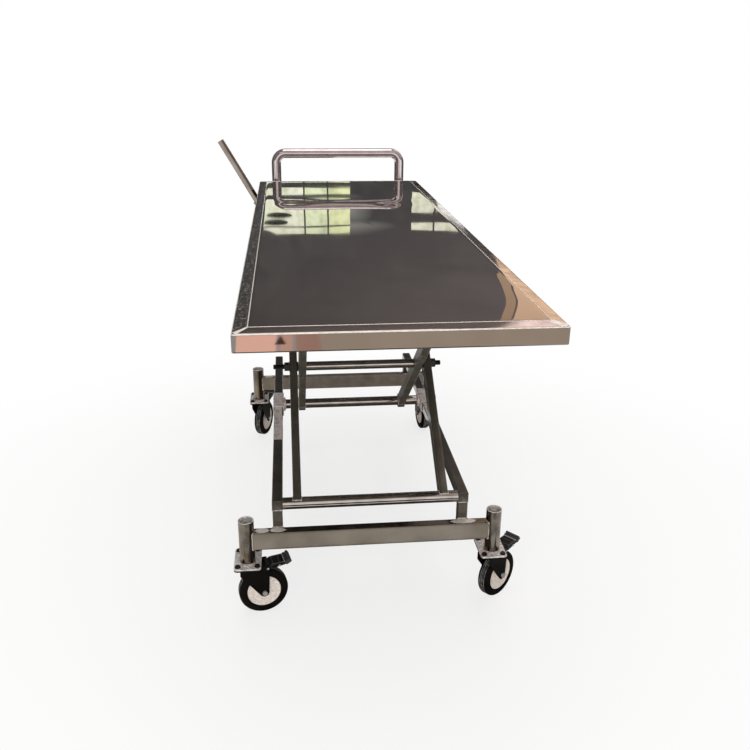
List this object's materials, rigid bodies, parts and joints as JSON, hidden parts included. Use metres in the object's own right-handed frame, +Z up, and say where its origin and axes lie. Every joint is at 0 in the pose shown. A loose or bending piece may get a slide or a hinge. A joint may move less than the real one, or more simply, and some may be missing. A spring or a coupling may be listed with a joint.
{
  "type": "mortuary lift trolley",
  "caption": "Stainless lift trolley with a long flat deck, a crossed-leg lift worked by a hand pump, a push handle and braked swivel casters.",
  "frame": {"origin": "on the floor, on the trolley's plane of symmetry, under the middle of its length from the deck's near edge to the back of the push handle", "axes": "+X to the right, +Y along the deck towards the push handle, +Z up"},
  "size_m": [0.9436, 2.0439, 1.2301],
  "materials": {
    "polished_sheet": "mirror-polished stainless sheet",
    "polished_tube": "polished stainless tube",
    "drawn_tube": "drawn stainless tube, lightly polished",
    "polished_sleeve": "bright polished stainless",
    "ground_rod": "ground bar",
    "black_rod": "blackened screwed rod",
    "zinc_fastener": "bright zinc plate",
    "ram_paint": "satin dark paint on steel",
    "cast_pump": "sand-cast alloy, sealed grey",
    "black_steel": "black powder coat on pressed steel",
    "black_rubber": "black moulded rubber",
    "pale_nylon": "moulded pale nylon",
    "black_nylon": "moulded black nylon"
  },
  "bodies": {
    "base": {"near_beam": "polished_tube", "far_beam": "polished_tube", "corner_posts": "polished_tube", "foot_plates": "polished_sheet", "rail_stubs": "polished_tube", "left_rail": "polished_tube", "right_rail": "polished_tube", "base_pivot_rod": "ground_rod", "caster_plates": "black_steel", "caster_bolts": "zinc_fastener"},
    "outer_legs": {"outer_left_leg": "drawn_tube", "outer_right_leg": "drawn_tube", "outer_foot_tube": "drawn_tube", "centre_rod": "black_rod", "centre_nuts": "zinc_fastener"},
    "inner_legs": {"inner_left_leg": "drawn_tube", "inner_right_leg": "drawn_tube", "centre_spacer": "drawn_tube", "inner_head_tube": "drawn_tube"},
    "lower_slide": {"left_lower_sleeve": "polished_sleeve", "right_lower_sleeve": "polished_sleeve", "lower_cross_tube": "drawn_tube"},
    "upper_slide": {"left_upper_sleeve": "polished_sleeve", "right_upper_sleeve": "polished_sleeve", "upper_cross_tube": "drawn_tube", "ram_rod": "ground_rod"},
    "table": {"deck_tray": "polished_sheet", "deck_frame": "drawn_tube", "upper_rails": "drawn_tube", "upper_rail_hangers": "drawn_tube", "table_pivot_rod": "ground_rod", "push_handle": "polished_tube", "handle_brackets": "polished_tube", "ram_crossbeam": "drawn_tube", "ram_barrel": "ram_paint", "pump_body": "cast_pump"},
    "lever": {"lever_socket": "ram_paint", "pump_lever": "polished_tube"},
    "plunger": {"pump_plunger": "ground_rod"},
    "valve": {"release_valve": "ram_paint"},
    "near_left_swivel": {"near_left_fork": "black_steel", "near_left_axle": "zinc_fastener"},
    "near_left_wheel": {"near_left_tyre": "black_rubber", "near_left_core": "pale_nylon"},
    "near_left_brake": {"near_left_pedal": "black_nylon"},
    "near_right_swivel": {"near_right_fork": "black_steel", "near_right_axle": "zinc_fastener"},
    "near_right_wheel": {"near_right_tyre": "black_rubber", "near_right_core": "pale_nylon"},
    "near_right_brake": {"near_right_pedal": "black_nylon"},
    "far_left_swivel": {"far_left_fork": "black_steel", "far_left_axle": "zinc_fastener"},
    "far_left_wheel": {"far_left_tyre": "black_rubber", "far_left_core": "pale_nylon"},
    "far_left_brake": {"far_left_pedal": "black_nylon"},
    "far_right_swivel": {"far_right_fork": "black_steel", "far_right_axle": "zinc_fastener"},
    "far_right_wheel": {"far_right_tyre": "black_rubber", "far_right_core": "pale_nylon"},
    "far_right_brake": {"far_right_pedal": "black_nylon"}
  },
  "joints": [
    {"name": "lift", "type": "hinge", "parent": "base", "child": "outer_legs", "pos_m": [0, -0.435, 0.35], "axis": [1, 0, 0], "range_deg": [-29, 0]},
    {"name": "leg_cross", "type": "hinge", "parent": "outer_legs", "child": "inner_legs", "pos_m": [0, -0.07724, 0.62951], "axis": [1, 0, 0], "range_deg": [0, 58]},
    {"name": "table_tilt", "type": "hinge", "parent": "inner_legs", "child": "table", "pos_m": [0, -0.435, 0.90902], "axis": [1, 0, 0], "range_deg": [-29, 0]},
    {"name": "lower_slide_turn", "type": "hinge", "parent": "inner_legs", "child": "lower_slide", "pos_m": [0, 0.28051, 0.35], "axis": [1, 0, 0], "range_deg": [-29, 0]},
    {"name": "upper_slide_turn", "type": "hinge", "parent": "outer_legs", "child": "upper_slide", "pos_m": [0, 0.28051, 0.90902], "axis": [1, 0, 0], "range_deg": [0, 29]},
    {"name": "lever_stroke", "type": "hinge", "parent": "table", "child": "lever", "pos_m": [-0.27761, 0.85513, 0.89502], "axis": [0, -1, 0], "range_deg": [0, 45]},
    {"name": "plunger_stroke", "type": "slide", "parent": "table", "child": "plunger", "axis": [1, 0, 0], "range_m": [0, 0.03061]},
    {"name": "valve_turn", "type": "hinge", "parent": "table", "child": "valve", "pos_m": [-0.11, 0.84013, 0.90902], "axis": [0, 1, 0], "range_deg": [0, 90]},
    {"name": "near_left_swivel_turn", "type": "hinge", "parent": "base", "child": "near_left_swivel", "pos_m": [-0.356, -0.447, 0.1657], "axis": [0, 0, 1], "continuous": true},
    {"name": "near_left_wheel_roll", "type": "hinge", "parent": "near_left_swivel", "child": "near_left_wheel", "pos_m": [-0.31687, -0.43868, 0.072], "axis": [0.2079, -0.9781, 0], "continuous": true},
    {"name": "near_left_brake_press", "type": "hinge", "parent": "near_left_swivel", "child": "near_left_brake", "pos_m": [-0.30709, -0.4366, 0.1505], "axis": [-0.2079, 0.9781, 0], "range_deg": [0, 18]},
    {"name": "near_right_swivel_turn", "type": "hinge", "parent": "base", "child": "near_right_swivel", "pos_m": [0.356, -0.447, 0.1657], "axis": [0, 0, 1], "continuous": true},
    {"name": "near_right_wheel_roll", "type": "hinge", "parent": "near_right_swivel", "child": "near_right_wheel", "pos_m": [0.38664, -0.42129, 0.072], "axis": [0.6428, -0.766, 0], "continuous": true},
    {"name": "near_right_brake_press", "type": "hinge", "parent": "near_right_swivel", "child": "near_right_brake", "pos_m": [0.3943, -0.41486, 0.1505], "axis": [-0.6428, 0.766, 0], "range_deg": [0, 18]},
    {"name": "far_left_swivel_turn", "type": "hinge", "parent": "base", "child": "far_left_swivel", "pos_m": [-0.356, 0.753, 0.1657], "axis": [0, 0, 1], "continuous": true},
    {"name": "far_left_wheel_roll", "type": "hinge", "parent": "far_left_swivel", "child": "far_left_wheel", "pos_m": [-0.34232, 0.79059, 0.072], "axis": [0.9397, -0.342, 0], "continuous": true},
    {"name": "far_left_brake_press", "type": "hinge", "parent": "far_left_swivel", "child": "far_left_brake", "pos_m": [-0.3389, 0.79998, 0.1505], "axis": [-0.9397, 0.342, 0], "range_deg": [0, 18]},
    {"name": "far_right_swivel_turn", "type": "hinge", "parent": "base", "child": "far_right_swivel", "pos_m": [0.356, 0.753, 0.1657], "axis": [0, 0, 1], "continuous": true},
    {"name": "far_right_wheel_roll", "type": "hinge", "parent": "far_right_swivel", "child": "far_right_wheel", "pos_m": [0.35251, 0.79285, 0.072], "axis": [0.9962, 0.0872, 0], "continuous": true},
    {"name": "far_right_brake_press", "type": "hinge", "parent": "far_right_swivel", "child": "far_right_brake", "pos_m": [0.35164, 0.80281, 0.1505], "axis": [-0.9962, -0.0872, 0], "range_deg": [0, 18]}
  ],
  "couplings": [
    {"joint": "leg_cross", "follows": "lift", "ratio": -2},
    {"joint": "table_tilt", "follows": "lift", "ratio": 1},
    {"joint": "lower_slide_turn", "follows": "lift", "ratio": 1},
    {"joint": "upper_slide_turn", "follows": "lift", "ratio": -1},
    {"joint": "plunger_stroke", "follows": "lever_stroke", "m_per_rad": 0.038979}
  ]
}
